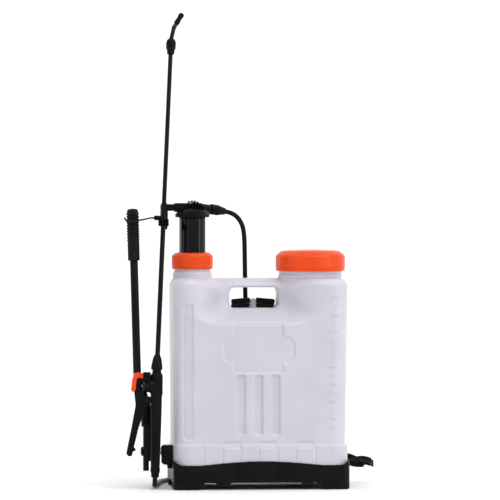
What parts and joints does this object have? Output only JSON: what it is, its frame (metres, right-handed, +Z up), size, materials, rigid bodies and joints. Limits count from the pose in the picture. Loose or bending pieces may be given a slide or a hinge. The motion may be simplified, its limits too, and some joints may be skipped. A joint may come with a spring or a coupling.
{
  "type": "backpack sprayer",
  "caption": "Backpack sprayer with a moulded tank, screw fill cap, side-lever piston pump with air chamber, hose, trigger gun, lance and shoulder straps.",
  "frame": {"origin": "the point on the floor under the middle of the tank, between the base's feet", "axes": "+Z up, -Y out of the tank's front, +Y towards the wearer's back, +X to the fill cap's side"},
  "size_m": [0.4804, 0.3222, 0.9],
  "materials": {
    "tank_plastic": "milky translucent blow-moulded polyethylene",
    "orange_plastic": "satin orange injection moulding",
    "black_plastic": "fine-grained black moulding",
    "gloss_black": "glossy black moulding",
    "grip_rubber": "soft ribbed grip",
    "seal_rubber": "nitrile seal",
    "hose_rubber": "smooth PVC hose",
    "black_metal": "black powder coat",
    "steel": "bright steel",
    "webbing": "woven polypropylene webbing",
    "pad_fabric": "woven pad cover"
  },
  "bodies": {
    "tank": {"tank": "tank_plastic", "base": "black_plastic", "base_screws": "steel", "pump_ring_nut": "orange_plastic", "pump_guide_bush": "black_plastic", "pump_barrel": "black_plastic", "inlet_valve_seat": "black_plastic", "inlet_valve_ball": "steel", "suction_strainer": "black_plastic", "hose": "hose_rubber", "strap_pin": "steel", "strap_top_left": "webbing", "shoulder_pad_left": "pad_fabric", "strap_web_left": "webbing", "strap_top_right": "webbing", "shoulder_pad_right": "pad_fabric", "strap_web_right": "webbing", "strap_buckles": "black_plastic", "strap_hooks": "black_plastic", "strap_tail": "webbing"},
    "fill_cap": {"fill_cap": "orange_plastic", "fill_cap_gasket": "seal_rubber", "cap_vent_valve": "seal_rubber"},
    "strainer": {"fill_strainer": "black_plastic"},
    "chamber": {"air_chamber": "gloss_black", "piston_cup": "seal_rubber", "chamber_valve_ball": "steel", "riser_tube": "black_plastic", "chamber_head": "black_plastic", "outlet_hose_nut": "black_plastic", "pump_arm": "black_plastic", "arm_bolt": "black_metal", "link_rod": "black_metal", "rod_socket": "black_plastic", "rod_eye": "black_plastic", "lance_clip": "black_plastic", "retainer_mount": "black_plastic"},
    "retainer": {"lever_retainer": "black_metal"},
    "lever": {"lever_tube": "black_metal", "lever_grip": "grip_rubber", "lever_hub": "black_plastic", "pivot_shaft": "steel", "shaft_nut": "black_plastic", "crank_arm": "black_metal", "crank_pin": "steel"},
    "gun": {"gun_body": "black_plastic", "valve_spring": "steel", "valve_cap": "gloss_black", "trigger_pin": "black_metal", "lock_pin": "black_metal", "gun_hose_nut": "black_plastic", "lance_nut": "black_plastic", "lance_tube": "black_metal", "nozzle_nut": "black_plastic"},
    "trigger": {"trigger": "black_plastic"},
    "stem": {"valve_stem": "steel"},
    "lock": {"trigger_lock": "orange_plastic"},
    "elbow": {"nozzle_elbow": "gloss_black"},
    "tip": {"nozzle_tip": "black_plastic"}
  },
  "joints": [
    {"name": "lever_swing", "type": "hinge", "parent": "tank", "child": "lever", "pos_m": [-0.2, -0.033, 0.07], "axis": [-1, 0, 0], "range_deg": [0, 85]},
    {"name": "pump_stroke", "type": "slide", "parent": "tank", "child": "chamber", "axis": [0, 0, -1], "range_m": [0, 0.0514], "deforming": ["hose"]},
    {"name": "retainer_swing", "type": "hinge", "parent": "chamber", "child": "retainer", "pos_m": [-0.2, -0.012, 0.511], "axis": [-1, 0, 0], "range_deg": [0, 80]},
    {"name": "fill_cap_lift", "type": "slide", "parent": "tank", "child": "fill_cap", "axis": [0, 0, 1], "range_m": [0, 0.22]},
    {"name": "strainer_lift", "type": "slide", "parent": "tank", "child": "strainer", "axis": [0, 0, 1], "range_m": [0, 0.11]},
    {"name": "gun_pull", "type": "slide", "parent": "tank", "child": "gun", "axis": [0, -1, 0], "range_m": [0, 0.12], "deforming": ["hose"]},
    {"name": "trigger_squeeze", "type": "hinge", "parent": "gun", "child": "trigger", "pos_m": [-0.21642, -0.05856, 0.16868], "axis": [0.0009, -0.9968, 0.0797], "range_deg": [0, 12], "stiffness_Nm_per_rad": 1.2, "springref_deg": -11.46},
    {"name": "stem_travel", "type": "slide", "parent": "gun", "child": "stem", "axis": [-0.9997, 0.0009, 0.0232], "range_m": [0, 0.0056], "deforming": ["valve_spring"]},
    {"name": "lock_swing", "type": "hinge", "parent": "gun", "child": "lock", "pos_m": [-0.21593, -0.05517, 0.21105], "axis": [-0.0009, 0.9968, -0.0797], "range_deg": [0, 50]},
    {"name": "elbow_swivel", "type": "hinge", "parent": "gun", "child": "elbow", "pos_m": [-0.16512, -0.00402, 0.85028], "axis": [0.0499, 0.0796, 0.9956], "continuous": true},
    {"name": "nozzle_twist", "type": "hinge", "parent": "elbow", "child": "tip", "pos_m": [-0.1598, -0.00274, 0.87159], "axis": [0.5142, 0.0343, 0.857], "range_deg": [0, 270]}
  ],
  "couplings": [
    {"joint": "pump_stroke", "follows": "lever_swing", "m_per_rad": 0.03461},
    {"joint": "strainer_lift", "follows": "fill_cap_lift", "ratio": 0.5},
    {"joint": "stem_travel", "follows": "trigger_squeeze", "m_per_rad": 0.026}
  ]
}
